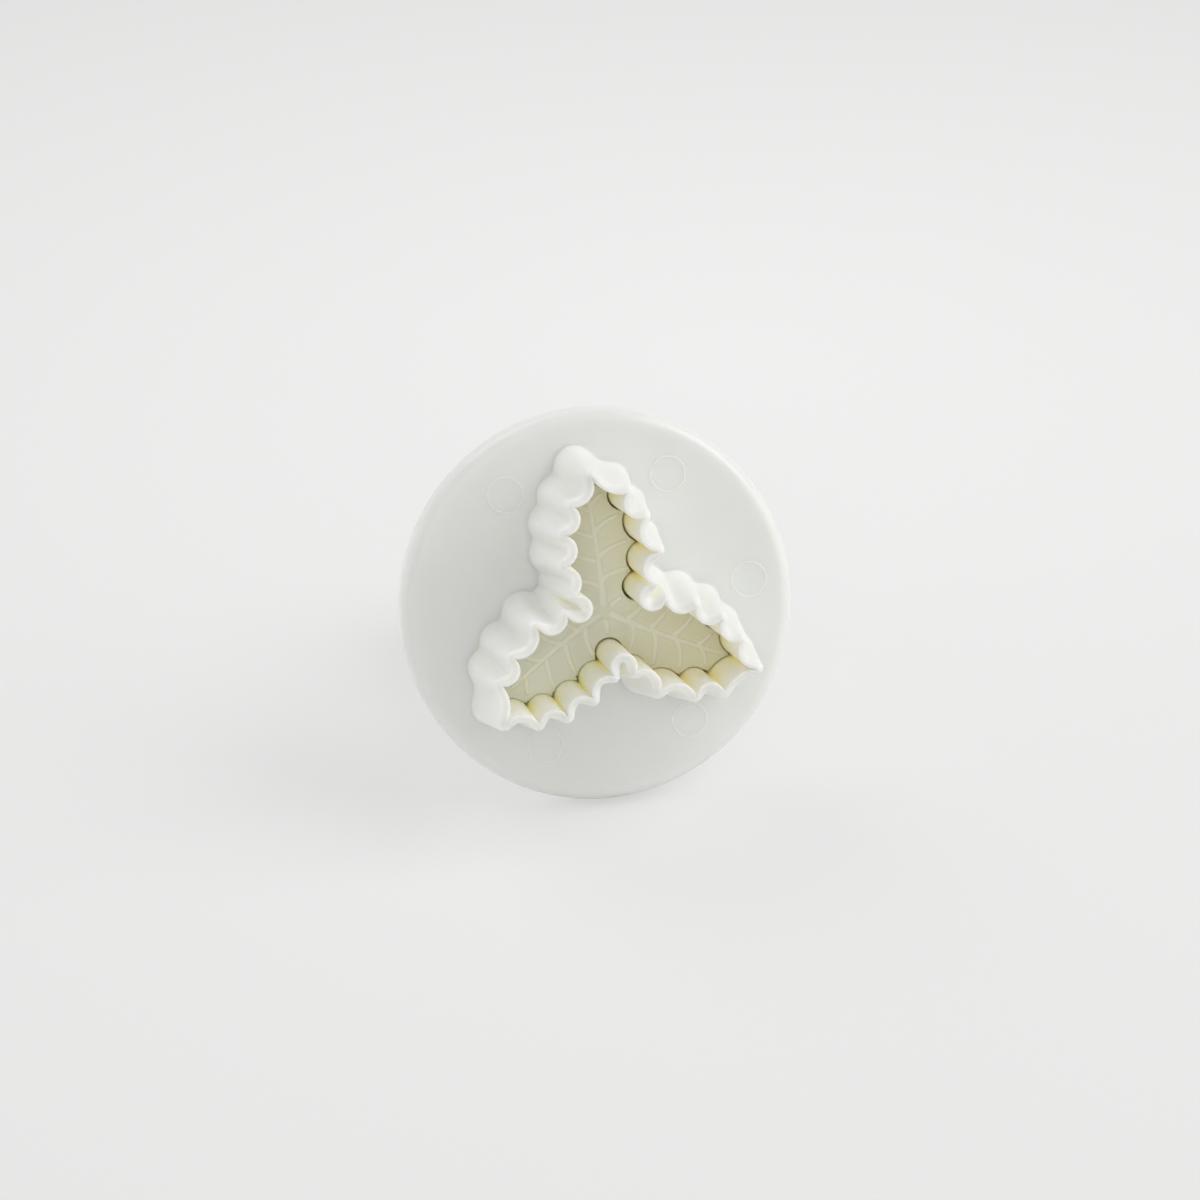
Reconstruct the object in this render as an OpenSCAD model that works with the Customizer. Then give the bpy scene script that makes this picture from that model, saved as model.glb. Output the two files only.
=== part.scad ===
// Plunger cutter that stamps and cuts three joined holly leaves.
// It stands upright on its cutting edge: the edge lies on z = 0 and the knob is on top.
// The plunger's axis is the Z axis, and one leaf points along +Y.

/* [Leaf outline] */
// Distance from the axis to a leaf's tip, inside the wall
tip_u = 18.2; // [16.5:0.1:19.5]
// How far the tip leans to the leaf's left
tip_v = 0.6; // [0:0.1:1]
// Distance along the leaf of the four left spines, from the tip inwards
left_u = [15.0, 11.8, 8.1, 4.4]; // [3.8:0.1:15.6]
// Distance of the four left spines from the midrib
left_v = [3.2, 4.8, 5.2, 4.6]; // [2.8:0.1:5.6]
// Distance along the leaf of the four right spines, from the tip inwards
right_u = [15.5, 12.3, 7.9, 4.2]; // [3.8:0.1:15.9]
// Distance of the four right spines from the midrib
right_v = [3.3, 4.9, 6.0, 4.7]; // [2.8:0.1:6.4]
// Depth of the hollow before each left spine, from the tip inwards
left_hollow = [1.15, 1.25, 1.4, 1.2]; // [0.6:0.05:1.6]
// Depth of the hollow before each right spine, from the tip inwards
right_hollow = [0.75, 1.35, 1.3, 1.45]; // [0.6:0.05:1.6]
// Depth of the round bay between two leaves
bay_depth = 2.6; // [2:0.1:2.9]

/* [Cutting wall] */
// Height of the wall, from the flange to the cutting edge
wall_h = 12.6; // [9:0.1:18]
// Thickness of the wall at the cutting edge
edge_t = 0.9; // [0.6:0.05:1.2]
// Thickness of the wall where it meets the flange
root_t = 2.7; // [1.8:0.1:3]

/* [Flange] */
// Diameter of the round flange
flange_d = 50; // [48:0.5:60]
// Thickness of the flange's plate
plate_t = 2; // [1.5:0.1:3]
// Depth of the flange's turned-back rim, from the front face
rim_depth = 4.6; // [3.5:0.1:6]
// Thickness of the turned-back rim
rim_t = 1.8; // [1.2:0.1:2.5]
// Radius of the flange's rounded front shoulder
shoulder_r = 1.4; // [0.6:0.1:1.7]

/* [Hub] */
// Outer diameter of the hub tube behind the flange
hub_d = 16; // [15.4:0.2:19]
// Inner diameter of the hub tube, where the spring lies
hub_bore_d = 12.8; // [12.4:0.1:13.4]
// Height of the hub tube above the flange's plate
hub_h = 27.4; // [22:0.2:34]
// Height of the guide sleeve around the stem, above the flange's plate
guide_h = 6; // [4:0.2:9]
// Outer diameter of the guide sleeve and of the knob's socket
sleeve_d = 9; // [8:0.1:9.6]

/* [Plunger] */
// Diameter of the stem
stem_d = 6; // [5:0.1:6.8]
// Radial clearance of the stem in its guide
stem_gap = 0.08; // [0.03:0.01:0.1]
// Thickness of the stamp's plate
stamp_t = 2.7; // [2.4:0.1:3.5]
// Clearance between the stamp and the wall around it
stamp_gap = 0.35; // [0.2:0.05:0.5]
// Play between the stamp's back and the flange at rest
rest_gap = 0.05; // [0.03:0.01:0.1]
// Diameter of the stem's spigot in the stamp
spigot_d = 4; // [3:0.1:4.5]
// Length of the stem's spigot in the stamp
spigot_h = 1.6; // [1.2:0.1:1.9]
// How far the stamp comes out of the wall at full stroke
push_out = 0.5; // [0:0.1:1.5]

/* [Veins] */
// Width of the raised veins
vein_w = 0.5; // [0.3:0.05:0.8]
// Height of the raised veins above the stamp's face
vein_h = 0.35; // [0.2:0.05:0.6]
// Angle between a side vein and the midrib
vein_angle = 52; // [40:1:62]

/* [Knob] */
// Diameter of the knob
knob_d = 25; // [21:0.5:30]
// Clearance between the knob's bore and the hub tube
knob_gap = 0.4; // [0.3:0.05:0.8]
// How far the knob covers the hub tube at rest
knob_cover = 4; // [2:0.2:6]
// Thickness of the knob's top
knob_top_t = 2.6; // [2:0.1:4]
// Depth of the knob's socket for the stem
socket_h = 8; // [5:0.5:10]
// Room left above the hub tube at full stroke
knob_stop = 0.3; // [0.2:0.1:1]
// Radius of the knob's rounded rim
knob_r = 2; // [1:0.1:2.4]

/* [Spring] */
// Diameter of the spring's wire
wire_d = 0.7; // [0.5:0.05:0.75]
// Outer diameter of the spring
spring_d = 11.6; // [11.4:0.1:11.9]
// Number of turns
turns = 9; // [6:1:12]

/* [Hidden] */

stamp_face_z = wall_h - rest_gap - stamp_t;
stroke = stamp_face_z + push_out;
plate_z = wall_h + plate_t;
hub_top_z = plate_z + hub_h;
knob_low_z = hub_top_z - knob_cover;
ceiling_z = hub_top_z + stroke + knob_stop;
knob_top_z = ceiling_z + knob_top_t;
socket_z = ceiling_z - socket_h;
// The stem ends this far below the bottom of its socket
stem_end_gap = 0.2;
// The spring lies this far from the plate and from the knob
spring_gap = 0.05;
// Turns of the spring that lie flat at each end
flat_turns = 0.9;
// Small overlap of shapes that are joined or cut
eps = 0.01;

// Points along each hollow, and rays across it for the wall's drafted outside
arc_steps = 8;
ray_steps = 6;
// Levels of the drafted outside, from the edge to the flange
draft_levels = 6;
// Depth of the strip that is trimmed off below the cutting edge
trim_h = 1;

// One leaf's corners, along and across the midrib, from its right root to its left root
leaf_corners = concat(
    [for (i = [3:-1:0]) [right_u[i], -right_v[i]]],
    [[tip_u, tip_v]],
    [for (i = [0:3]) [left_u[i], left_v[i]]]
);
// Depth of the hollow that follows each corner; the last one is the bay
leaf_hollows = concat(
    [for (i = [3:-1:0]) right_hollow[i]],
    [for (i = [0:3]) left_hollow[i]],
    [bay_depth]
);

// Place a point of leaf k: seen from below, v runs to the left of the midrib
function placed(p, k) =
    let (a = 90 - 120 * k)
    [p[0] * cos(a) + p[1] * sin(a), p[0] * sin(a) - p[1] * cos(a)];

corners = [for (k = [0:2]) each [for (p = leaf_corners) placed(p, k)]];
hollows = [for (k = [0:2]) each leaf_hollows];
// Points on the midribs from which the corners are sighted
root_share = 0.85;
roots = [for (k = [0:2]) each [for (p = leaf_corners) placed([root_share * p[0], 0], k)]];
count = len(corners);

function next(k) = (k + 1) % count;
function chord(k) = corners[next(k)] - corners[k];
function along(k) = chord(k) / norm(chord(k));
function inward(k) = [along(k)[1], -along(k)[0]];
function bow_r(k) =
    let (half = norm(chord(k)) / 2)
    (half * half + hollows[k] * hollows[k]) / (2 * hollows[k]);
function bow_centre(k) =
    (corners[k] + corners[next(k)]) / 2 + inward(k) * (hollows[k] - bow_r(k));

// Inner outline of the wall: one arc for each hollow
outline = [for (k = [0:count - 1])
    let (half = atan2(norm(chord(k)) / 2, bow_r(k) - hollows[k]))
    for (j = [0:arc_steps - 1])
    let (a = half * (2 * j / arc_steps - 1))
    bow_centre(k) + bow_r(k) * (inward(k) * cos(a) + along(k) * sin(a))];

// Distances at which a ray from p along d meets a circle, or undef
function meets(p, d, c, r) =
    let (m = c - p, b = m * d, q = b * b - m * m + r * r)
    q < 0 ? undef : [b - sqrt(q), b + sqrt(q)];

// Distance from p to the outside of a wall of thickness t across hollow k
function wall_reach(p, d, k, t) =
    let (
        void_r = bow_r(k) - t,
        void = void_r > 0 ? meets(p, d, bow_centre(k), void_r) : undef,
        near = meets(p, d, corners[k], t),
        far = meets(p, d, corners[next(k)], t)
    )
    void != undef ? void[0]
    : max(near == undef ? 0 : near[1], far == undef ? 0 : far[1]);

// Outer outline of a wall of thickness t
function wall_ring(t) = [for (k = [0:count - 1], j = [0:ray_steps - 1])
    let (
        f = j / ray_steps,
        p = roots[k] * (1 - f) + roots[next(k)] * f,
        aim = corners[k] * (1 - f) + corners[next(k)] * f,
        d = (aim - p) / norm(aim - p)
    )
    p + d * wall_reach(p, d, k, t)];

// Closed skin through rings of equal length, from the lowest to the highest
module skin(rings) {
    n = len(rings[0]);
    last = len(rings) - 1;
    sides = [for (i = [0:last - 1], j = [0:n - 1])
        let (a = i * n + j, b = i * n + (j + 1) % n)
        each [[a, b, b + n], [a, b + n, a + n]]];
    lid = [for (j = [0:n - 1]) last * n + j];
    base = [for (j = [n - 1:-1:0]) j];
    polyhedron([for (r = rings) each r], concat(sides, [lid, base]));
}

// Thickness of the drafted wall at height z
function wall_t(z) = edge_t + (root_t - edge_t) * z / wall_h;

// Drafted outside of the wall, cut flat at the cutting edge and sunk into the flange's plate
module wall_outside() {
    low = -trim_h;
    high = wall_h + plate_t / 2;
    rings = [for (i = [0:draft_levels - 1])
        let (z = low + (high - low) * i / (draft_levels - 1))
        [for (p = wall_ring(wall_t(z))) [p[0], p[1], z]]];
    difference() {
        skin(rings);
        translate([-flange_d / 2, -flange_d / 2, -2 * trim_h])
            cube([flange_d, flange_d, 2 * trim_h]);
    }
}

module leaf_prism(z, h, inset = 0) {
    translate([0, 0, z]) linear_extrude(h)
        if (inset > 0) offset(delta = -inset) polygon(outline);
        else polygon(outline);
}

// Plate, rounded shoulder and turned-back rim of the flange
module flange() {
    r = flange_d / 2;
    translate([0, 0, wall_h]) rotate_extrude($fn = 180) difference() {
        union() {
            translate([0, shoulder_r]) square([r, rim_depth - shoulder_r]);
            square([r - shoulder_r, rim_depth]);
            translate([r - shoulder_r, shoulder_r]) circle(shoulder_r, $fn = 48);
        }
        translate([0, plate_t]) square([r - rim_t, rim_depth]);
        translate([-2 * r, -eps]) square([2 * r, 2 * rim_depth]);
    }
}

module tube(z, h, d_out, d_in, seg = 96) {
    translate([0, 0, z]) difference() {
        cylinder(h = h, d = d_out, $fn = seg);
        translate([0, 0, -eps]) cylinder(h = h + 2 * eps, d = d_in, $fn = seg);
    }
}

module cutter_body() color([0.93, 0.93, 0.91]) {
    difference() {
        union() {
            flange();
            wall_outside();
            tube(plate_z - eps, hub_h + eps, hub_d, hub_bore_d);
            translate([0, 0, plate_z - eps]) cylinder(h = guide_h + eps, d = sleeve_d, $fn = 96);
        }
        leaf_prism(-eps, wall_h + eps);
        translate([0, 0, wall_h - 1])
            cylinder(h = plate_t + guide_h + 2, d = stem_d + 2 * stem_gap, $fn = 96);
    }
}

// One leaf's raised veins: the midrib and a pair of side veins towards each hollow
module leaf_veins(k) {
    reach = tip_u - vein_w * 4;
    low = stamp_face_z - vein_h;
    rotate(90 - 120 * k) translate([vein_w, -vein_w / 2, low])
        cube([reach - vein_w, vein_w, vein_h + eps]);
    for (side = [-1, 1], i = [0:3]) {
        u = side < 0 ? left_u[i] : right_u[i];
        v = side < 0 ? left_v[i] : right_v[i];
        drop = (v - stamp_gap) / tan(vein_angle);
        run = (v - 3 * stamp_gap) / sin(vein_angle);
        rotate(90 - 120 * k) translate([u - drop, 0, low]) rotate(side * vein_angle)
            translate([0, -vein_w / 2, 0]) cube([run * 0.8, vein_w, vein_h + eps]);
    }
}

module stamp() color([0.87, 0.85, 0.72]) difference() {
    union() {
        leaf_prism(stamp_face_z, stamp_t, stamp_gap);
        intersection() {
            union() for (k = [0:2]) leaf_veins(k);
            leaf_prism(stamp_face_z - vein_h - eps, vein_h + stamp_t / 2, stamp_gap + vein_w);
        }
    }
    translate([0, 0, stamp_face_z + stamp_t - spigot_h])
        cylinder(h = spigot_h + eps, d = spigot_d, $fn = 64);
}

module stem() color([0.9, 0.89, 0.85]) {
    back_z = stamp_face_z + stamp_t;
    translate([0, 0, back_z]) cylinder(h = ceiling_z - stem_end_gap - back_z, d = stem_d, $fn = 96);
    translate([0, 0, back_z - spigot_h]) cylinder(h = spigot_h + eps, d = spigot_d, $fn = 64);
}

// Share of the spring's climb after w turns: the end turns lie flat
function climb(w) = max(0, min(1, (w - flat_turns) / (turns - 2 * flat_turns)));

// Coil from the flange's plate to the knob's ceiling
module spring() color([0.72, 0.73, 0.75]) {
    low = plate_z + spring_gap + wire_d / 2;
    high = ceiling_z - spring_gap - wire_d / 2;
    coil_r = (spring_d - wire_d) / 2;
    wire_sides = 8;
    steps_per_turn = 24;
    // Ring of points around the wire after w turns
    rings = [for (i = [0:turns * steps_per_turn])
        let (w = i / steps_per_turn, z = low + (high - low) * climb(w))
        [for (j = [0:wire_sides - 1])
            let (b = 360 * j / wire_sides, r = coil_r + wire_d / 2 * cos(b))
            [r * cos(360 * w), r * sin(360 * w), z + wire_d / 2 * sin(b)]]];
    skin(rings);
}

module knob() color([0.93, 0.93, 0.91]) difference() {
    union() {
        difference() {
            translate([0, 0, knob_low_z]) rotate_extrude($fn = 144) difference() {
                union() {
                    square([knob_d / 2, knob_top_z - knob_low_z - knob_r]);
                    square([knob_d / 2 - knob_r, knob_top_z - knob_low_z]);
                    translate([knob_d / 2 - knob_r, knob_top_z - knob_low_z - knob_r])
                        circle(knob_r, $fn = 48);
                }
                translate([-knob_d, -eps]) square([knob_d, knob_top_z]);
            }
            translate([0, 0, knob_low_z - eps])
                cylinder(h = ceiling_z - knob_low_z + eps, d = hub_d + 2 * knob_gap, $fn = 96);
        }
        translate([0, 0, socket_z]) cylinder(h = socket_h + eps, d = sleeve_d, $fn = 96);
    }
    translate([0, 0, socket_z - eps]) cylinder(h = socket_h + eps, d = stem_d, $fn = 96);
}

cutter_body();
stamp();
stem();
spring();
knob();
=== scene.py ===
# Plunger cutter for three joined holly leaves: a white moulding, an ivory stamp and a sprung plunger.
# The row frame has the cutting edge on z = 0, the knob on top and one leaf along +Y.
import bpy
import math
import numpy as np
from mathutils import Matrix, Vector


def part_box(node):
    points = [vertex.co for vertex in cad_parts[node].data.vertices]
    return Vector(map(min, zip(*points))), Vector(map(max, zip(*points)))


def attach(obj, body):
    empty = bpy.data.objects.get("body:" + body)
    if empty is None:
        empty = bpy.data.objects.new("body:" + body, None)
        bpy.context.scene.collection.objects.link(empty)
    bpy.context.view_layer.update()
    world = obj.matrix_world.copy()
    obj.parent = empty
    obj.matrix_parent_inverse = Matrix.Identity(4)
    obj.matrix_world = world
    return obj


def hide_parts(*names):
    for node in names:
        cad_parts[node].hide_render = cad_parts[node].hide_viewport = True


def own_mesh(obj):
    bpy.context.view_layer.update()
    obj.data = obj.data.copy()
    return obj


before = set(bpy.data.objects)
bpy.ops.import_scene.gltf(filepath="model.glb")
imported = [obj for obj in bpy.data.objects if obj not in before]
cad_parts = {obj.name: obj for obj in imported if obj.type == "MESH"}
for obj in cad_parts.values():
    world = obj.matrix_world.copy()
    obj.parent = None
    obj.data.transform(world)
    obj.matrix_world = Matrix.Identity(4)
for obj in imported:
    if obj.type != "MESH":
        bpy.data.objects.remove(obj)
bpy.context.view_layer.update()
MM = 0.001


# Cutter moulding: one piece of white gloss plastic. It has a round flange, a drafted and
# scalloped cutting wall in front, and behind it a hub tube with a short sleeve for the stem.
body_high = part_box("cutter_body")[1]
flange_r = body_high.x / MM
hub_top_z = body_high.z / MM
wall_h = 12.6
plate_t = 2.0
rim_depth = 4.6
rim_t = 1.8
shoulder_r = 1.7
edge_t = 0.9
root_t = 2.7
root_fillet = 0.3
edge_bow_h = 1.7
edge_bow_steps = 8
edge_inner_r = 0.12
valley_passes = 4
hub_r = 8.0
hub_bore_r = 6.4
sleeve_r = 4.5
sleeve_h = 6.0
stem_bore_r = 3.08
rim_round = 0.35
pocket_fillet = 0.6
hub_fillet = 0.5
hub_round = 0.4
bore_round = 0.2
sleeve_round = 0.3
# How deep the wall stands in the flange's plate, and the heights of the rings down its inner side,
# closer together by the stamp's face
sunk = 0.6
inner_levels = (11, 10.3, 9.8, 9.3, 8.3, 7, 5.5, 4, 3, 2, 1.2, 0.6)
outer_levels = 14

# The leaf outline: its tip and spines along and across the midrib, from the tip inwards, and the depth
# of the hollow by each spine
leaf_tip = (18.2, 0.6)
left_spines = [(15.0, 3.2), (11.8, 4.8), (8.1, 5.2), (4.4, 4.6)]
right_spines = [(15.5, 3.3), (12.3, 4.9), (7.9, 6.0), (4.2, 4.7)]
left_hollows = [1.15, 1.25, 1.4, 1.2]
right_hollows = [0.75, 1.35, 1.3, 1.45]
bay_depth = 2.6
root_share = 0.85
steps_per_hollow = 24


def placed(points, k):
    """Points of leaf k, along and across its midrib, turned to 90 - 120 k degrees. Across runs to the left
    seen from below."""
    a = math.radians(90 - 120 * k)
    u, v = points[..., 0], points[..., 1]
    return np.stack([u * math.cos(a) + v * math.sin(a), u * math.sin(a) - v * math.cos(a)], -1)


leaf_line = np.array([(u, -v) for u, v in right_spines[::-1]] + [leaf_tip] + left_spines)
hollow_line = np.array(right_hollows[::-1] + left_hollows + [bay_depth])
spines = np.concatenate([placed(leaf_line, k) for k in range(3)])
roots = np.concatenate([placed(leaf_line * (root_share, 0), k) for k in range(3)])
hollows = np.tile(hollow_line, 3)
next_spines = np.roll(spines, -1, 0)
chord = next_spines - spines
half_chord = np.linalg.norm(chord, axis=1) / 2
along = chord / (2 * half_chord[:, None])
inward = np.stack([along[:, 1], -along[:, 0]], 1)
bow_r = (half_chord ** 2 + hollows ** 2) / (2 * hollows)
bow_centre = (spines + next_spines) / 2 + inward * (hollows - bow_r)[:, None]
bow_half = np.arctan2(half_chord, bow_r - hollows)

# Sight lines that fan out from the midribs to the hollows, closer together by the spines
fan = (0.5 - 0.5 * np.cos(math.pi * np.arange(steps_per_hollow) / steps_per_hollow))[None, :, None]
sight_from = roots[:, None] * (1 - fan) + np.roll(roots, -1, 0)[:, None] * fan
sight_to = spines[:, None] * (1 - fan) + next_spines[:, None] * fan
sight = sight_to - sight_from
sight = sight / np.linalg.norm(sight, axis=-1, keepdims=True)


def crossings(centre, radius):
    """Distances along every sight line at which it enters and leaves a circle, with one circle for each
    hollow."""
    m = centre[:, None] - sight_from
    b = (m * sight).sum(-1)
    q = b * b - (m * m).sum(-1) + np.broadcast_to(radius, (len(centre),))[:, None] ** 2
    root = np.sqrt(np.where(q < 0, np.nan, q))
    return b - root, b + root


def outline(t):
    """The leaf group's outline, moved outwards by t: arcs of radius bow_r - t in the hollows, and arcs of
    radius t round the spines. A negative t gives a piece that clears the wall, with pointed spines."""
    if t <= 0:
        reach = np.full(sight.shape[:2], np.inf)
        for shift in ((0,) if t == 0 else (-1, 0, 1)):
            enter, leave = crossings(np.roll(bow_centre, shift, 0), np.roll(bow_r, shift) - t)
            reach = np.fmin(reach, np.where(leave > 0, enter, np.nan))
    else:
        near, far = crossings(spines, t)[1], crossings(next_spines, t)[1]
        reach = np.fmax(np.nan_to_num(near, nan=0), np.nan_to_num(far, nan=0))
        void_r = np.maximum(bow_r - t, 1e-6)
        enter = crossings(bow_centre, void_r)[0]
        spot = sight_from + sight * np.nan_to_num(enter)[..., None] - bow_centre[:, None]
        facing = (spot * inward[:, None]).sum(-1) / void_r[:, None]
        inside = (bow_r > t)[:, None] & ~np.isnan(enter) & (facing >= np.cos(bow_half)[:, None])
        reach = np.where(inside, enter, reach)
    return (sight_from + sight * reach[..., None]).reshape(-1, 2)


def softened(line, times):
    """A closed line whose points move to the weighted mean of themselves and their neighbours, so that
    creases round off."""
    for _ in range(times):
        line = (np.roll(line, 1, 0) + 2 * line + np.roll(line, -1, 0)) / 4
    return line


def make_piece(name, vertices, faces):
    """A mesh object at the origin from points in millimetres."""
    mesh = bpy.data.meshes.new(name)
    mesh.from_pydata((np.asarray(vertices, float) * MM).tolist(), [], [list(f) for f in faces])
    mesh.validate()
    piece = bpy.data.objects.new(name, mesh)
    bpy.context.scene.collection.objects.link(piece)
    return piece


def grid_faces(rows, columns, close_rows=True, start=0):
    """Quads between neighbours of a grid whose columns run round a closed loop, and whose rows may too."""
    i = np.arange(rows if close_rows else rows - 1)[:, None]
    j = np.arange(columns)[None, :]
    below, right = (i + 1) % rows, (j + 1) % columns
    quads = np.stack(np.broadcast_arrays(i * columns + j, below * columns + j,
                                         below * columns + right, i * columns + right), -1)
    return (quads.reshape(-1, 4) + start).tolist()


def turned(name, profile, columns):
    """A ring-shaped solid: a closed profile of radius and height, carried round the Z axis."""
    r, z = np.asarray(profile, float).T
    a = 2 * math.pi * np.arange(columns) / columns
    points = np.stack(np.broadcast_arrays(r[:, None] * np.cos(a), r[:, None] * np.sin(a), z[:, None]), -1)
    return make_piece(name, points.reshape(-1, 3), grid_faces(len(r), columns))


def bend(centre, radius, start, end, steps=6):
    """Points of a round corner in the profile plane, from the start angle to the end angle in degrees."""
    a = np.radians(np.linspace(start, end, steps + 1))
    return [(centre[0] + radius * math.cos(x), centre[1] + radius * math.sin(x)) for x in a]


def outward(piece):
    """Turns a closed piece's faces outwards."""
    mesh = piece.data
    co = np.zeros(len(mesh.vertices) * 3)
    mesh.vertices.foreach_get("co", co)
    mesh.calc_loop_triangles()
    tri = np.zeros(len(mesh.loop_triangles) * 3, int)
    mesh.loop_triangles.foreach_get("vertices", tri)
    a, b, c = co.reshape(-1, 3)[tri.reshape(-1, 3)].transpose(1, 0, 2)
    if (a * np.cross(b, c)).sum() < 0:
        mesh.flip_normals()
    return piece


def worked(piece, tool, operation):
    """The piece with a tool solid joined to it or cut from it; the tool is used up."""
    step = piece.modifiers.new(operation.lower(), "BOOLEAN")
    step.operation = operation
    step.object = tool
    step.solver = "MANIFOLD"
    bpy.context.view_layer.update()
    finished = bpy.data.meshes.new_from_object(piece.evaluated_get(bpy.context.evaluated_depsgraph_get()))
    piece.modifiers.clear()
    piece.data = finished
    bpy.data.objects.remove(tool)
    return piece


def shaded(piece, crease=32):
    """Smooth shading, with sharp edges where faces meet at more than the crease angle in degrees."""
    piece.data.polygons.foreach_set("use_smooth", np.ones(len(piece.data.polygons), bool))
    piece.data.set_sharp_from_angle(angle=math.radians(crease))
    return piece


def wall_solid():
    """The cutting wall: the leaf outline moved out by the wall's thickness at each height. The thickness
    grows evenly from the edge to the flange, with a fillet at the foot. The edge bows in to the cavity on
    part of an ellipse, of the one half width that lets it run into the slope without a crease."""
    profile = [(0, z) for z in (wall_h + sunk, wall_h, *inner_levels)]
    profile += [(edge_inner_r * (1 - math.cos(a)), edge_inner_r * (1 - math.sin(a)))
                for a in np.radians([0, 20, 40, 60, 75, 90])]
    draft = (root_t - edge_t) / wall_h
    lean, foot_z = draft * edge_bow_h, wall_h - root_fillet
    bow = math.sqrt((edge_t - edge_inner_r + lean) ** 2 - lean ** 2)
    profile += [(edge_inner_r + bow * math.sin(a), edge_bow_h * (1 - math.cos(a)))
                for a in np.linspace(math.radians(10), math.atan2(bow, lean), edge_bow_steps)]
    profile += [(edge_t + draft * z, z) for z in np.linspace(profile[-1][1], foot_z, outer_levels + 1)[1:]]
    profile += [(edge_t + draft * (foot_z + root_fillet * math.sin(a)) + root_fillet * (1 - math.cos(a)),
                 foot_z + root_fillet * math.sin(a)) for a in np.radians([15, 30, 45, 60, 75, 90])]
    profile += [(profile[-1][0], wall_h + sunk)]
    rings = []
    for t, z in profile:
        line = softened(outline(t), valley_passes if t > edge_t else 0)
        rings.append(np.column_stack([line, np.full(len(line), z)]))
    points = np.concatenate(rings)
    return outward(make_piece("wall", points, grid_faces(len(profile), len(rings[0]))))


def flange_solid():
    """The flange, hub tube and stem sleeve: a profile of flats and round corners, turned round the
    plunger's axis. Two rings more on the flat face keep its triangles short."""
    rim_z, plate_z = wall_h + rim_depth, wall_h + plate_t
    profile = [(stem_bore_r, wall_h), (10, wall_h), (20, wall_h), (flange_r - shoulder_r, wall_h)]
    profile += bend((flange_r - shoulder_r, wall_h + shoulder_r), shoulder_r, -86, 0, 20)
    profile += [(flange_r, rim_z - 0.5)]
    profile += bend((flange_r - rim_round, rim_z - rim_round), rim_round, 0, 90)
    profile += bend((flange_r - rim_t + rim_round, rim_z - rim_round), rim_round, 90, 180)
    profile += bend((flange_r - rim_t - pocket_fillet, plate_z + pocket_fillet), pocket_fillet, 0, -90)
    profile += bend((hub_r + hub_fillet, plate_z + hub_fillet), hub_fillet, 270, 180)
    profile += bend((hub_r - hub_round, hub_top_z - hub_round), hub_round, 0, 90)
    profile += bend((hub_bore_r + bore_round, hub_top_z - bore_round), bore_round, 90, 180, 4)
    profile += [(hub_bore_r, plate_z), (sleeve_r, plate_z)]
    profile += bend((sleeve_r - sleeve_round, plate_z + sleeve_h - sleeve_round), sleeve_round, 0, 90, 4)
    profile += [(stem_bore_r, plate_z + sleeve_h)]
    return outward(turned("flange", profile, 256))


# Ejector rings: their radius, and the width and height of the ridge; then where each lies, as an angle
# in degrees and a distance from the axis
ring_r, ridge_w, ridge_h = 2.22, 0.24, 0.12
ejector_marks = [(59, 18.8), (125.6, 18.8), (179.4, 19.4), (240.5, 18.8), (300.7, 18.8)]


def ejector_mark(angle, radius):
    """A faint ring that an ejector pin leaves on the flange: a low ridge, half sunk in the face."""
    a = np.radians(np.arange(0, 360, 30))
    profile = np.column_stack([ring_r + ridge_w / 2 * np.cos(a), wall_h - ridge_h * np.sin(a)])
    mark = outward(turned("mark", profile, 64))
    turn = math.radians(angle)
    mark.data.transform(Matrix.Translation((radius * MM * math.cos(turn), radius * MM * math.sin(turn), 0)))
    return mark


def new_material(name):
    """An empty node material with its output, and its node tree."""
    material = bpy.data.materials.new(name)
    material.use_nodes = True
    tree = material.node_tree
    tree.nodes.clear()
    return material, tree, tree.nodes.new("ShaderNodeOutputMaterial")


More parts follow.
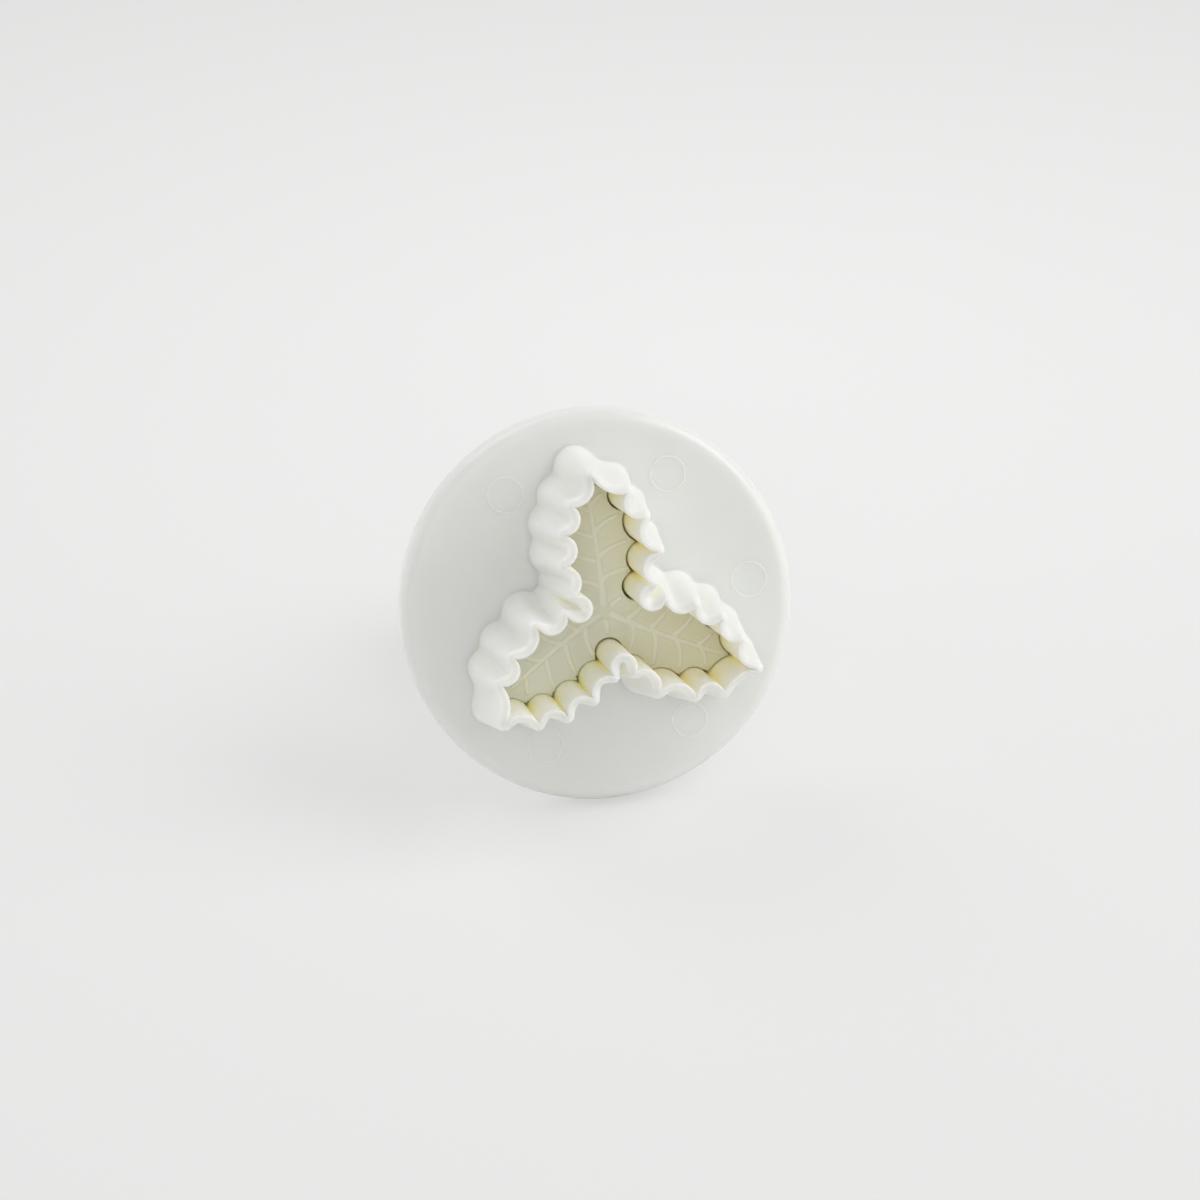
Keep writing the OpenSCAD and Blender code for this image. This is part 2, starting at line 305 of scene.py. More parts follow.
def moulded_skin_group():
    """Shared finish of moulded plastic: a faint cloudiness of the colour, a drift of the gloss and a fine
    skin."""
    group = bpy.data.node_groups.new("moulded_skin", "ShaderNodeTree")
    face = group.interface
    color, number = "NodeSocketColor", "NodeSocketFloat"
    for name, kind, value in [("Color", color, (0.8, 0.8, 0.8, 1)), ("Cloud", number, 0.03),
                              ("Gloss", number, 0.35), ("Gloss Drift", number, 0.06),
                              ("Skin", number, 0.1), ("Skin Scale", number, 2500.0)]:
        face.new_socket(name, in_out="INPUT", socket_type=kind).default_value = value
    for name, kind in [("Color", color), ("Roughness", number), ("Height", number)]:
        face.new_socket(name, in_out="OUTPUT", socket_type=kind)
    nodes, links = group.nodes, group.links
    given, made = nodes.new("NodeGroupInput"), nodes.new("NodeGroupOutput")
    place = nodes.new("ShaderNodeTexCoord")

    cloud = nodes.new("ShaderNodeTexNoise")
    cloud.inputs["Scale"].default_value = 180
    cloud.inputs["Detail"].default_value = 3
    links.new(place.outputs["Object"], cloud.inputs["Vector"])
    spread = nodes.new("ShaderNodeMapRange")
    spread.inputs["To Min"].default_value = -1
    links.new(cloud.outputs["Fac"], spread.inputs["Value"])
    amount = nodes.new("ShaderNodeMath")
    amount.operation = "MULTIPLY_ADD"
    amount.inputs[2].default_value = 1
    links.new(spread.outputs["Result"], amount.inputs[0])
    links.new(given.outputs["Cloud"], amount.inputs[1])
    tint = nodes.new("ShaderNodeVectorMath")
    tint.operation = "SCALE"
    links.new(given.outputs["Color"], tint.inputs[0])
    links.new(amount.outputs["Value"], tint.inputs["Scale"])
    links.new(tint.outputs["Vector"], made.inputs["Color"])

    drift = nodes.new("ShaderNodeMath")
    drift.operation = "MULTIPLY_ADD"
    links.new(spread.outputs["Result"], drift.inputs[0])
    links.new(given.outputs["Gloss Drift"], drift.inputs[1])
    links.new(given.outputs["Gloss"], drift.inputs[2])
    links.new(drift.outputs["Value"], made.inputs["Roughness"])

    grain = nodes.new("ShaderNodeTexNoise")
    grain.inputs["Detail"].default_value = 2
    links.new(place.outputs["Object"], grain.inputs["Vector"])
    links.new(given.outputs["Skin Scale"], grain.inputs["Scale"])
    height = nodes.new("ShaderNodeMath")
    height.operation = "MULTIPLY"
    links.new(grain.outputs["Fac"], height.inputs[0])
    links.new(given.outputs["Skin"], height.inputs[1])
    links.new(height.outputs["Value"], made.inputs["Height"])
    return group


moulded_skin = moulded_skin_group()


def by_place(tree, first, second, start, end, axis="Z"):
    """A colour that turns from one to another between two places, in millimetres along an axis of the row
    frame."""
    nodes, links = tree.nodes, tree.links
    place, axes = nodes.new("ShaderNodeTexCoord"), nodes.new("ShaderNodeSeparateXYZ")
    links.new(place.outputs["Object"], axes.inputs["Vector"])
    share = nodes.new("ShaderNodeMapRange")
    share.interpolation_type = "SMOOTHSTEP"
    share.inputs["From Min"].default_value = start * MM
    share.inputs["From Max"].default_value = end * MM
    links.new(axes.outputs[axis], share.inputs["Value"])
    return mixed_color(tree, share.outputs["Result"], first, second)


def mixed_color(tree, share, first, second):
    """The colour between two colours, each a plain value or a socket, at a share given by a socket."""
    mix = tree.nodes.new("ShaderNodeMix")
    mix.data_type = "RGBA"
    tree.links.new(share, mix.inputs["Factor"])
    for socket, color in (("A", first), ("B", second)):
        place = [i for i in mix.inputs if i.name == socket and i.type == "RGBA"][0]
        if isinstance(color, tuple):
            place.default_value = (*color, 1)
        else:
            tree.links.new(color, place)
    return [o for o in mix.outputs if o.type == "RGBA"][0]


def plastic(name, color, gloss, cloud=0.02, skin=0.1, skin_scale=2500, glow=0.0, reach=0.002,
            tinted=None, carried=None):
    """A moulded plastic: the shared skin into a Principled shader, with some light carried under its
    surface. The functions tinted and carried add nodes for the colour and for a painted glow, an emission
    of light that passes through."""
    material, tree, output = new_material(name)
    nodes, links = tree.nodes, tree.links
    finish = nodes.new("ShaderNodeGroup")
    finish.node_tree = moulded_skin
    finish.inputs["Color"].default_value = (*color, 1)
    finish.inputs["Cloud"].default_value = cloud
    finish.inputs["Gloss"].default_value = gloss
    finish.inputs["Skin"].default_value = skin
    finish.inputs["Skin Scale"].default_value = skin_scale
    if tinted:
        links.new(tinted(tree), finish.inputs["Color"])
    bump = nodes.new("ShaderNodeBump")
    bump.inputs["Strength"].default_value = 0.25
    bump.inputs["Distance"].default_value = 0.00004
    links.new(finish.outputs["Height"], bump.inputs["Height"])
    shader = nodes.new("ShaderNodeBsdfPrincipled")
    shader.inputs["Subsurface Weight"].default_value = glow
    shader.inputs["Subsurface Radius"].default_value = (1, 0.95, 0.85)
    shader.inputs["Subsurface Scale"].default_value = reach
    if carried:
        links.new(carried(tree), shader.inputs["Emission Color"])
        shader.inputs["Emission Strength"].default_value = 1
    links.new(finish.outputs["Color"], shader.inputs["Base Color"])
    links.new(finish.outputs["Roughness"], shader.inputs["Roughness"])
    links.new(bump.outputs["Normal"], shader.inputs["Normal"])
    links.new(shader.outputs["BSDF"], output.inputs["Surface"])
    return material


body_white = (0.874, 0.88, 0.845)
# Painted light: the wall turns whiter towards its foot, lifting the shade by the flange
foot_light_white = (0.92, 0.925, 0.895)
# Painted shade: the flange's thin plate is greyer than the wall
plate_shade_white = (0.762, 0.770, 0.750)
# Painted shade: the cutting edge is greyer, dimming its brightly lit rim
edge_shade_white = (0.766, 0.767, 0.722)
# The flange's shoulder and rim turn whiter again, where the plate's painted shade ends
side_white = (0.86, 0.865, 0.83)
# Painted light: the wall's inner side is whiter, standing in for light through the thin wall
inner_light_white = (0.952, 0.955, 0.92)
# Painted warm shade: ochre, deepest in the creases by the stamp's face
crease_shade_ochre = (0.77, 0.735, 0.36)
# The stamp's face stands this far from the edge, and a crease is this wide; the hollows beside it take
# a share of its painted warm shade, which fades towards the edge by this power
cavity_z = 9.9
crease_w = 1.15
hollow_share = 0.24
depth_power = 1.35
gap_shade = (0.72, 0.66, 0.22)
# Painted glow of light through the thin wall: its colour on the wall and in the creases, stronger on the
# lit -X side
through_wall_glow = (0.030, 0.028, 0.018)
through_lit_wall_glow = (0.050, 0.0435, 0.022)
through_crease_glow = (0.115, 0.103, 0.042)
through_lit_crease_glow = (0.150, 0.113, 0.042)
# The bays between the leaves: their directions in degrees, and where their painted warm shade and glow lie
bay_turns = (30, 150, 270)
bay_reach = (2.0, 7.5)
bay_w = 0.9
bay_share = 0.10
# Where one colour turns to the next: heights in millimetres, and for the painted lit side places along X
foot_range = (5.5, wall_h - 1.5)
plate_range = (wall_h - 0.5, wall_h)
shoulder_range = (wall_h + 0.5, wall_h + 2)
edge_range = (0.8, 0.1)
lit_range = (1, -5)
gap_range = (cavity_z - 0.2, cavity_z + 0.5)
through_start = (-0.5, 2.5)
through_end = (cavity_z + 1.6, cavity_z - 0.2)
bay_range = (0, 3)


def inside(points, line):
    """True for the points inside a closed line: a ray from such a point along +X crosses the line an odd
    number of times."""
    x, y = points[:, :1], points[:, 1:]
    (ax, ay), (bx, by) = line.T, np.roll(line, -1, 0).T
    spans = (ay > y) != (by > y)
    return (spans & (x < ax + (bx - ax) * (y - ay) / np.where(by == ay, 1, by - ay))).sum(1) % 2 == 1


def moulding_color(tree):
    """White, with painted shade greying the thin plate and the edge, a warm ochre the deeper a spot lies in
    a crease, and dark in the gap behind the stamp; painted light whitens the wall's foot and its inner
    side."""
    nodes, links = tree.nodes, tree.links
    slope = by_place(tree, body_white, foot_light_white, *foot_range)
    plate = by_place(tree, slope, plate_shade_white, *plate_range)
    shoulder = by_place(tree, plate_shade_white, side_white, *shoulder_range)
    place, axes = nodes.new("ShaderNodeTexCoord"), nodes.new("ShaderNodeSeparateXYZ")
    links.new(place.outputs["Object"], axes.inputs["Vector"])
    behind = nodes.new("ShaderNodeMath")
    behind.operation = "GREATER_THAN"
    behind.inputs[1].default_value = (wall_h + 0.005) * MM
    links.new(axes.outputs["Z"], behind.inputs[0])
    plain = mixed_color(tree, behind.outputs["Value"], plate, shoulder)
    plain = by_place(tree, plain, edge_shade_white, *edge_range)
    inner, depth, gap = (nodes.new("ShaderNodeAttribute") for _ in range(3))
    inner.attribute_name, depth.attribute_name, gap.attribute_name = "inner", "depth", "gap"
    plain = mixed_color(tree, inner.outputs["Fac"], plain, inner_light_white)
    creased = mixed_color(tree, depth.outputs["Fac"], plain, crease_shade_ochre)
    return mixed_color(tree, gap.outputs["Fac"], creased, gap_shade)


def painted_through_glow(tree):
    """A painted glow: emission that stands in for the warm light coming through the thin wall, on its inner
    side between the edge and the stamp. It is painted stronger on the -X side, the lit side."""
    through, depth = tree.nodes.new("ShaderNodeAttribute"), tree.nodes.new("ShaderNodeAttribute")
    through.attribute_name, depth.attribute_name = "through", "depth"
    wall = by_place(tree, through_wall_glow, through_lit_wall_glow, *lit_range, "X")
    crease = by_place(tree, through_crease_glow, through_lit_crease_glow, *lit_range, "X")
    warm = mixed_color(tree, depth.outputs["Fac"], wall, crease)
    return mixed_color(tree, through.outputs["Fac"], (0.0, 0.0, 0.0), warm)


def ramp(value, start, end):
    """A smooth rise from 0 to 1 between two values, or a fall where the start is the greater."""
    share = np.clip((value - start) / (end - start), 0, 1)
    return share * share * (3 - 2 * share)


def wall_masks(spots):
    """Masks from 0 to 1 at points of the moulding, for painted light and shade: the wall's inner side, how
    deep a spot lies in a crease, for painted warm shade (fuller by the spines than on the hollows, and a
    little in the bays between the leaves), the gap behind the stamp's face, for painted shade, and where a
    painted glow shows."""
    inner_reach, wall_reach = 0.03, 0.1
    z = spots[:, 2]
    front = z < wall_h + wall_reach
    inner = (front & inside(spots[:, :2], outline(inner_reach))).astype(float)
    from_spine = np.linalg.norm(spots[:, None, :2] - spines[None], axis=2).min(1)
    by_spine = hollow_share + (1 - hollow_share) * np.exp(-(from_spine / crease_w) ** 2)
    depth = inner * np.clip(z / cavity_z, 0, 1) ** depth_power * by_spine
    through = inner * ramp(z, *through_start) * ramp(z, *through_end)
    for turn in np.radians(bay_turns):
        along = spots[:, 0] * math.cos(turn) + spots[:, 1] * math.sin(turn)
        across = spots[:, 1] * math.cos(turn) - spots[:, 0] * math.sin(turn)
        near = front & (inner == 0) & (abs(across) < bay_w)
        near &= (along > bay_reach[0]) & (along < bay_reach[1])
        bay = (1 - (across / bay_w) ** 2) * ramp(z, *bay_range)
        depth, through = np.where(near, bay_share * bay, depth), np.where(near, bay, through)
    return {"inner": inner, "depth": depth, "gap": inner * ramp(z, *gap_range), "through": through}


moulding = flange_solid()
moulding.name = moulding.data.name = "cutter_moulding"
worked(moulding, wall_solid(), "UNION")
for angle, radius in ejector_marks:
    worked(moulding, ejector_mark(angle, radius), "UNION")
shaded(moulding)
spots = np.zeros(len(moulding.data.vertices) * 3)
moulding.data.vertices.foreach_get("co", spots)
for name, mask in wall_masks(spots.reshape(-1, 3) / MM).items():
    moulding.data.attributes.new(name, "FLOAT", "POINT").data.foreach_set("value", mask)
moulding.data.materials.clear()
moulding.data.materials.append(plastic("white_plastic", body_white, 0.34, glow=1.0, reach=0.0025,
                                       tinted=moulding_color, carried=painted_through_glow))
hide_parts("cutter_body")
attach(moulding, "cutter")


# Stamp: the ivory plate that slides inside the wall with a fine gap all round. Raised midribs
# and curved side veins press the leaf pattern into the paste. It is pressed onto the stem.
stamp_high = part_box("stamp")[1]
stamp_back_z = stamp_high.z / MM
stamp_t = 2.7
stamp_face_z = stamp_back_z - stamp_t
stamp_bevel = 0.1
# The gap to the wall: its least, usual and greatest width, what it gains at the spines, at those of the
# lower leaves and in the bays, and how the stamp sits in its play, as a shift and a turn in degrees
gap_least, gap_mean, gap_most = 0.03, 0.10, 0.30
gap_at_spines, gap_at_low_spines, spine_reach = 0.04, 0.16, 0.7
gap_at_bays, bay_radius = 0.20, 5.0
play, play_turn = (0.07, -0.06), -0.3
spigot_r = 2.0
spigot_h = 1.6
# Raised veins: height and depth in the plate, midrib's curve, and widths at the root and at the tip
vein_h = 0.2
vein_sink = 0.3
midrib = [(0.45, 0.0), (7.5, -0.55), (16.6, 0.1)]
midrib_w = (1.05, 0.55)
side_w = (0.88, 0.55)
# Where each side vein leaves the midrib, the point it bends towards, and its end near a spine
left_veins = [[(12.7, 0), (13.5, 0.9), (14.0, 2.0)], [(9.3, 0), (10.3, 1.3), (10.9, 3.5)],
              [(6.2, 0), (7.2, 1.2), (7.7, 3.9)], [(3.0, 0), (4.2, 1.2), (4.5, 3.6)]]
right_veins = [[(13.2, 0), (14.1, -0.6), (14.7, -2.0)], [(9.6, 0), (11.1, -0.8), (11.7, -3.6)],
               [(6.4, 0), (7.9, -0.9), (8.3, -4.3)], [(3.5, 0), (4.9, -0.9), (4.8, -3.9)]]
bay_vein = [(0.9, 0.0), (2.0, 0.1), (2.9, 0.0)]


def stamp_gaps():
    """The gap at each point of the outline: even, then more by the spines and in the bays, and wider on the
    side that the stamp leaves as it sits shifted and turned a little in its play. It never closes."""
    fade_start, fade_end = 0, -5
    line = outline(0)
    slope = np.roll(line, -1, 0) - np.roll(line, 1, 0)
    slope = slope / np.linalg.norm(slope, axis=1, keepdims=True)
    into = np.stack([slope[:, 1], -slope[:, 0]], 1)
    into *= np.sign((into * (outline(-0.1) - line)).sum())
    moved = np.array(play) + math.radians(play_turn) * np.stack([-line[:, 1], line[:, 0]], 1)
    from_spine = np.linalg.norm(line[:, None] - spines[None], axis=2).min(1)
    at_spines = gap_at_spines + gap_at_low_spines * ramp(line[:, 1], fade_start, fade_end)
    gap = gap_mean + (into * moved).sum(1) + at_spines * np.exp(-(from_spine / spine_reach) ** 2)
    gap += gap_at_bays * np.exp(-(np.linalg.norm(line, axis=1) / bay_radius) ** 4)
    return np.clip(gap, gap_least, gap_most)


def stamp_plate():
    """The plate: the leaf outline drawn in by the gap, with its edges taken off, and flat on both sides."""
    profile = [(stamp_bevel, stamp_face_z), (0, stamp_face_z + stamp_bevel),
               (0, stamp_back_z - stamp_bevel), (stamp_bevel, stamp_back_z)]
    share = ((stamp_gaps() - gap_least) / (gap_most - gap_least))[:, None]
    rings = []
    for inset, z in profile:
        line = outline(-gap_least - inset) * (1 - share) + outline(-gap_most - inset) * share
        rings.append(np.column_stack([line, np.full(len(line), z)]))
    count = len(rings[0])
    faces = grid_faces(len(rings), count, close_rows=False)
    faces += [list(range(count)), list(range((len(rings) - 1) * count, len(rings) * count))[::-1]]
    return outward(make_piece("plate", np.concatenate(rings), faces))


def vein_solid(name, bow, widths, k, turn=0.0):
    """One raised vein: a quadratic curve in the leaf's plane, carrying an oval section that is as high as
    the vein above the face, sinks into the plate below it, narrows along the vein and closes at both
    ends."""
    start, middle, end = (np.array(p, float) for p in bow)
    s = np.concatenate([[0, 0.01, 0.03, 0.06], np.linspace(0.1, 0.9, 17), [0.94, 0.97, 0.99, 1]])[:, None]
    line = start * (1 - s) ** 2 + 2 * middle * s * (1 - s) + end * s ** 2
    slope = 2 * (middle - start) * (1 - s) + 2 * (end - middle) * s
    slope = slope / np.linalg.norm(slope, axis=1, keepdims=True)
    across = np.stack([-slope[:, 1], slope[:, 0]], 1)
    length = np.linalg.norm(np.diff(line, axis=0), axis=1).sum()
    width = widths[0] + (widths[1] - widths[0]) * s[:, 0]
    from_end = np.minimum(s[:, 0], 1 - s[:, 0]) * length / (width / 2)
    closing = np.sqrt(np.clip(1 - (1 - np.minimum(from_end, 1)) ** 2, 0.0004, 1))
    a = 2 * math.pi * np.arange(16) / 16
    flat = line[:, None] + across[:, None] * (width * closing / 2)[:, None, None] * np.cos(a)[None, :, None]
    tall = np.where(np.sin(a) > 0, -vein_h, vein_sink) * np.sin(a) ** 2
    z = stamp_face_z + tall[None] * closing[:, None]
    c, q = math.cos(math.radians(turn)), math.sin(math.radians(turn))
    flat = np.stack([flat[..., 0] * c - flat[..., 1] * q, flat[..., 0] * q + flat[..., 1] * c], -1)
    points = np.concatenate([placed(flat, k), z[..., None]], -1).reshape(-1, 3)
    faces = grid_faces(len(s), len(a), close_rows=False)
    faces += [list(range(len(a))), list(range((len(s) - 1) * len(a), len(s) * len(a)))[::-1]]
    return outward(make_piece(name, points, faces))


stamp = stamp_plate()
stamp.name = stamp.data.name = "leaf_stamp"
for k in range(3):
    worked(stamp, vein_solid("midrib", midrib, midrib_w, k), "UNION")
    worked(stamp, vein_solid("bay_vein", bay_vein, side_w, k, turn=60), "UNION")
    for vein in left_veins + right_veins:
        worked(stamp, vein_solid("vein", vein, side_w, k), "UNION")
socket = turned("socket", [(spigot_r, stamp_back_z - spigot_h), (spigot_r, stamp_back_z + 1),
                           (0.001, stamp_back_z + 1), (0.001, stamp_back_z - spigot_h)], 64)
worked(stamp, outward(socket), "DIFFERENCE")
shaded(stamp, 40)
stamp.data.materials.clear()
# The ivory turns from warm to cool between two places along X, and the veins' tops are paler: a painted
# highlight
stamp_warm = (0.80, 0.79, 0.625)
stamp_cool = (0.79, 0.793, 0.72)
vein_highlight_ivory = (0.865, 0.855, 0.755)
cool_range = (-8, 12)
vein_range = (stamp_face_z - 0.4 * vein_h, stamp_face_z - 0.05 * vein_h)


def ivory(tree):
    """Ivory that is a little cooler on the +X side, and paler along the tops of the veins, a painted
    highlight.
    """
    plate = by_place(tree, stamp_warm, stamp_cool, *cool_range, "X")
    return by_place(tree, vein_highlight_ivory, plate, *vein_range)


stamp.data.materials.append(plastic("ivory_plastic", stamp_warm, 0.5, cloud=0.03, tinted=ivory))
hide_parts("stamp")
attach(stamp, "plunger")


# Stem: a plain white rod, pressed into the stamp in front and into the knob behind. It runs
# in the moulding's sleeve with a fine clearance.
stem_white = (0.74, 0.74, 0.70)
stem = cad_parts["stem"]
stem.data.materials.clear()
stem.data.materials.append(plastic("stem_plastic", stem_white, 0.42))


# Spring: a steel wire coil between the flange and the knob's ceiling, with its end turns lying
# flat. It shortens as the knob goes down.
spring_low, spring_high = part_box("spring")
spring_r = spring_high.x / MM
wire_r = 0.35
turns = 9
flat_turns = 0.9
steps_per_turn = 48
wire_sides = 14
wire_steel = (0.55, 0.55, 0.56, 1)
wire_gloss = (0.22, 0.42)
wire_streaks = (900, 900, 9000)


def coil_solid():
    """The wire: a circle carried along a helix whose climb is level for the end turns."""
    w = np.linspace(0, turns, turns * steps_per_turn + 1)
    climb = np.clip((w - flat_turns) / (turns - 2 * flat_turns), 0, 1)
    z = spring_low.z / MM + wire_r + (spring_high.z - spring_low.z - 2 * wire_r * MM) / MM * climb
    b = 2 * math.pi * np.arange(wire_sides) / wire_sides
    r = spring_r - wire_r + wire_r * np.cos(b)[None]
    a = 2 * math.pi * w[:, None]
    points = np.stack(np.broadcast_arrays(r * np.cos(a), r * np.sin(a), z[:, None] + wire_r * np.sin(b)),
                      -1)
    count = len(b)
    faces = grid_faces(len(w), count, close_rows=False)
    faces += [list(range(count)), list(range((len(w) - 1) * count, len(w) * count))[::-1]]
    return outward(make_piece("coil_spring", points.reshape(-1, 3), faces))


def steel_wire():
    """Drawn spring steel: bright, with fine streaks that run round the axis."""
    material, tree, output = new_material("spring_wire")
    nodes, links = tree.nodes, tree.links
    place, stretch = nodes.new("ShaderNodeTexCoord"), nodes.new("ShaderNodeMapping")
    stretch.inputs["Scale"].default_value = wire_streaks
    links.new(place.outputs["Object"], stretch.inputs["Vector"])
    streak = nodes.new("ShaderNodeTexNoise")
    streak.inputs["Scale"].default_value = 1
    links.new(stretch.outputs["Vector"], streak.inputs["Vector"])
    rough = nodes.new("ShaderNodeMapRange")
    rough.inputs["To Min"].default_value, rough.inputs["To Max"].default_value = wire_gloss
    links.new(streak.outputs["Fac"], rough.inputs["Value"])
    shader = nodes.new("ShaderNodeBsdfPrincipled")
    shader.inputs["Metallic"].default_value = 1
    shader.inputs["Base Color"].default_value = wire_steel
    links.new(rough.outputs["Result"], shader.inputs["Roughness"])
    links.new(shader.outputs["BSDF"], output.inputs["Surface"])
    return material


spring = shaded(coil_solid(), 50)
spring.data.materials.append(steel_wire())
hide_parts("spring")
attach(spring, "cutter")
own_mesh(spring)


# Knob: a white cap that slides over the hub tube and holds the stem's end in its socket. Its
# rim is rounded for the thumb.
knob_low, knob_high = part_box("knob")
knob_r = knob_high.x / MM
knob_low_z, knob_top_z = knob_low.z / MM, knob_high.z / MM
knob_rim_r = 2.0
knob_top_t = 2.6
knob_bore_r = 8.4
knob_lip_r = 0.4
ceiling_fillet = 0.5
stem_r = 3.0
socket_h = 8.0


def knob_solid():
    """The knob: its profile turned round the axis, from the top's middle over the rim and up inside the
    bore. Rings close to each corner keep the flats flat when they are shaded."""
    ceiling_z, flat_r, middle_r = knob_top_z - knob_top_t, knob_r - knob_rim_r, 0.001
    profile = [(middle_r, knob_top_z), (flat_r - 3, knob_top_z), (flat_r - 0.2, knob_top_z)]
    profile += bend((flat_r, knob_top_z - knob_rim_r), knob_rim_r, 88, 0, 16)
    profile += [(knob_r, knob_low_z + 1)]
    profile += bend((knob_r - knob_lip_r, knob_low_z + knob_lip_r), knob_lip_r, 0, -90)
    profile += bend((knob_bore_r + knob_lip_r, knob_low_z + knob_lip_r), knob_lip_r, -90, -180)
    profile += bend((knob_bore_r - ceiling_fillet, ceiling_z - ceiling_fillet), ceiling_fillet, 0, 90, 4)
    profile += [(sleeve_r, ceiling_z), (sleeve_r, ceiling_z - socket_h), (stem_r, ceiling_z - socket_h),
                (stem_r, ceiling_z), (middle_r, ceiling_z)]
    return outward(turned("push_knob", profile, 192))


knob = shaded(knob_solid())
knob.data.materials.append(plastic("knob_plastic", body_white, 0.36, glow=1.0))
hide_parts("knob")
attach(knob, "plunger")


# Camera: it looks down at the cutter's face, from a little to the left of the plunger's axis,
# as measured on the photograph. Its axes are given in the row frame.
camera_at = Vector((45.4, 57.8, -279.8)) * MM
camera_right = Vector((-0.97283, -0.14592, -0.17973))
camera_up = Vector((-0.17549, 0.97116, 0.16141))
camera_back = camera_right.cross(camera_up)
picture_side = 1200
focal_pixels = 2400
sensor_mm = 36.0
lens = bpy.data.cameras.new("view")
lens.sensor_fit = "HORIZONTAL"
lens.sensor_width = sensor_mm
lens.lens = focal_pixels / picture_side * sensor_mm
lens.clip_start, lens.clip_end = 0.01, 20
camera = bpy.data.objects.new("view", lens)
turn = Matrix((camera_right, camera_up, camera_back)).transposed().to_4x4()
camera.matrix_world = Matrix.Translation(camera_at) @ turn
bpy.context.scene.collection.objects.link(camera)
bpy.context.scene.camera = camera


# Floor: seamless pale paper. The cutter leans back on it, on the flange's rear edge and on the
# knob's rim, so the paper is the plane that touches both.
contact_turn = math.radians(274.9)
contact_way = Vector((math.cos(contact_turn), math.sin(contact_turn), 0))
knob_rim_centre = (knob_r - knob_rim_r, knob_top_z - knob_rim_r)
reach_in, reach_up = flange_r - knob_rim_centre[0], knob_rim_centre[1] - (wall_h + rim_depth)
lean = math.atan2(reach_in, reach_up) - math.asin(knob_rim_r / math.hypot(reach_in, reach_up))
axis_way = Vector((0, 0, 1))
floor_up = -math.cos(lean) * contact_way - math.sin(lean) * axis_way
floor_point = (flange_r * contact_way + (wall_h + rim_depth) * axis_way) * MM
floor_right = (camera_right - camera_right.dot(floor_up) * floor_up).normalized()
floor_away = floor_up.cross(floor_right)
floor_frame = Matrix((floor_right, floor_away, floor_up)).transposed().to_4x4()
floor_frame = Matrix.Translation(floor_point) @ floor_frame
# Paper: half its side in metres, its colour in the middle and where the painted fall-off of light ends, the
# fade's centre and reach on the sheet, and the share and strength of what only the camera sees
paper_size = 1.6
paper_pale = (0.92, 0.92, 0.915, 1)
paper_dim = (0.80, 0.80, 0.795, 1)
fade_centre = (0.02, 0.14, 0)
fade_reach = (0.34, 0.38, 1)
paper_glow = 0.58
paper_shine = 0.95


def paper_floor():
    """A large sheet in the floor's plane. It is seen from above alone, so that views from below look
    through it."""
    corners = [(x * paper_size, y * paper_size, 0) for x, y in [(-1, -1), (1, -1), (1, 1), (-1, 1)]]
    sheet = bpy.data.meshes.new("paper_floor")
    sheet.from_pydata(corners, [], [(0, 1, 2, 3)])
    floor = bpy.data.objects.new("paper_floor", sheet)
    floor.matrix_world = floor_frame
    bpy.context.scene.collection.objects.link(floor)
    material, tree, output = new_material("paper")
    nodes, links = tree.nodes, tree.links
    place = nodes.new("ShaderNodeTexCoord")
    centred = nodes.new("ShaderNodeMapping")
    centred.vector_type = "TEXTURE"
    centred.inputs["Location"].default_value = fade_centre
    centred.inputs["Scale"].default_value = fade_reach
    links.new(place.outputs["Object"], centred.inputs["Vector"])
    away = nodes.new("ShaderNodeVectorMath")
    away.operation = "LENGTH"
    links.new(centred.outputs["Vector"], away.inputs[0])
    # Painted fall-off of light: the paper is paler in the middle and dimmer towards the fade's end
    fade = nodes.new("ShaderNodeValToRGB")
    fade.color_ramp.elements[0].color = paper_pale
    fade.color_ramp.elements[1].color = paper_dim
    links.new(away.outputs["Value"], fade.inputs["Fac"])
    shader = nodes.new("ShaderNodeBsdfPrincipled")
    shader.inputs["Roughness"].default_value = 0.9
    shader.inputs["Specular IOR Level"].default_value = 0.1
    links.new(fade.outputs["Color"], shader.inputs["Base Color"])
    clear = nodes.new("ShaderNodeBsdfTransparent")
    side = nodes.new("ShaderNodeNewGeometry")
    pick = nodes.new("ShaderNodeMixShader")
    links.new(side.outputs["Backfacing"], pick.inputs["Fac"])
    rays, share, pale, paper = (nodes.new("ShaderNodeLightPath"), nodes.new("ShaderNodeMath"),
                                nodes.new("ShaderNodeEmission"), nodes.new("ShaderNodeMixShader"))
    share.operation = "MULTIPLY"
    share.inputs[1].default_value = paper_glow
    links.new(rays.outputs["Is Camera Ray"], share.inputs[0])
    links.new(fade.outputs["Color"], pale.inputs["Color"])
    pale.inputs["Strength"].default_value = paper_shine
    links.new(share.outputs["Value"], paper.inputs["Fac"])
    links.new(shader.outputs["BSDF"], paper.inputs[1])
    links.new(pale.outputs["Emission"], paper.inputs[2])
    links.new(paper.outputs["Shader"], pick.inputs[1])
    links.new(clear.outputs["BSDF"], pick.inputs[2])
    links.new(pick.outputs["Shader"], output.inputs["Surface"])
    sheet.materials.append(material)


paper_floor()


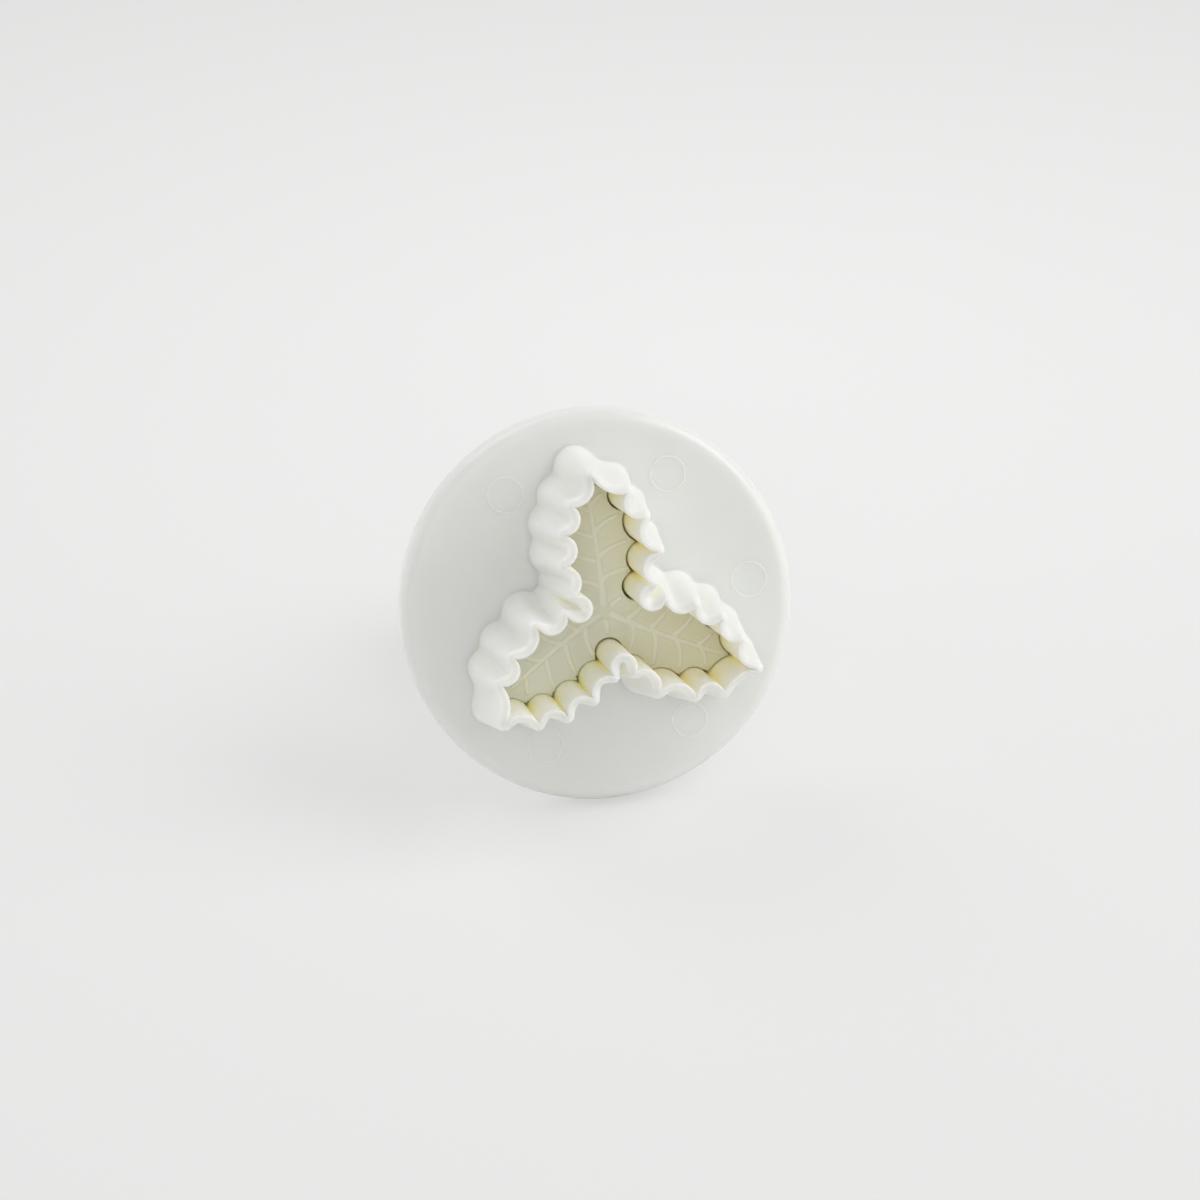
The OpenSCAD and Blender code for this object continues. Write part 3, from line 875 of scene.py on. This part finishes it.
# Light: five large soft lamps round the object, the strongest on the right, and an even pale
# room. A face square to the lamps renders about as its colour is written.
def soft_lamp(name, place, size, power, aim=(0, 0, 0.02)):
    """A square area lamp at a place in the floor's frame, turned towards a point there."""
    lamp = bpy.data.lights.new(name, "AREA")
    lamp.shape = "SQUARE"
    lamp.size = size
    lamp.energy = power
    shone = bpy.data.objects.new(name, lamp)
    turn = (Vector(place) - Vector(aim)).to_track_quat("Z", "Y").to_matrix().to_4x4()
    shone.matrix_world = floor_frame @ Matrix.Translation(place) @ turn
    bpy.context.scene.collection.objects.link(shone)
    return shone


lamp_away = 1.5
lamp_size = 0.9
room_light = 0.42
room_seen = 0.84
# Each lamp: its way round from the viewer's side to the right and its height in degrees, and its power
lamps = {"front": (0, 30, 3.5), "left_low": (-85, 15, 3.3), "left_back": (-135, 45, 4.3),
         "right": (90, 45, 9.5), "right_low": (85, 15, 3.0)}
for name, (way, rise, power) in lamps.items():
    way, rise = math.radians(way), math.radians(rise)
    towards = Vector((math.sin(way) * math.cos(rise), -math.cos(way) * math.cos(rise), math.sin(rise)))
    soft_lamp(name, lamp_away * towards, lamp_size, power)


def pale_room(strength, seen):
    """An even world: it lights at the given strength, and the camera sees it as pale as the paper."""
    world = bpy.data.worlds.new("pale_room")
    bpy.context.scene.world = world
    world.use_nodes = True
    tree = world.node_tree
    tree.nodes.clear()
    nodes, links = tree.nodes, tree.links
    room, shown, mixed = (nodes.new("ShaderNodeBackground"), nodes.new("ShaderNodeBackground"),
                          nodes.new("ShaderNodeMixShader"))
    room.inputs["Color"].default_value = (1, 1, 1, 1)
    room.inputs["Strength"].default_value = strength
    shown.inputs["Color"].default_value = (seen, seen, seen, 1)
    rays = nodes.new("ShaderNodeLightPath")
    looks = rays.outputs["Is Camera Ray"]
    for way in ("Is Glossy Ray", "Is Transmission Ray"):
        either = nodes.new("ShaderNodeMath")
        either.operation = "MAXIMUM"
        links.new(looks, either.inputs[0])
        links.new(rays.outputs[way], either.inputs[1])
        looks = either.outputs["Value"]
    links.new(looks, mixed.inputs["Fac"])
    links.new(room.outputs["Background"], mixed.inputs[1])
    links.new(shown.outputs["Background"], mixed.inputs[2])
    links.new(mixed.outputs["Shader"], nodes.new("ShaderNodeOutputWorld").inputs["Surface"])


pale_room(room_light, room_seen)
bpy.context.scene.view_settings.view_transform = "Standard"
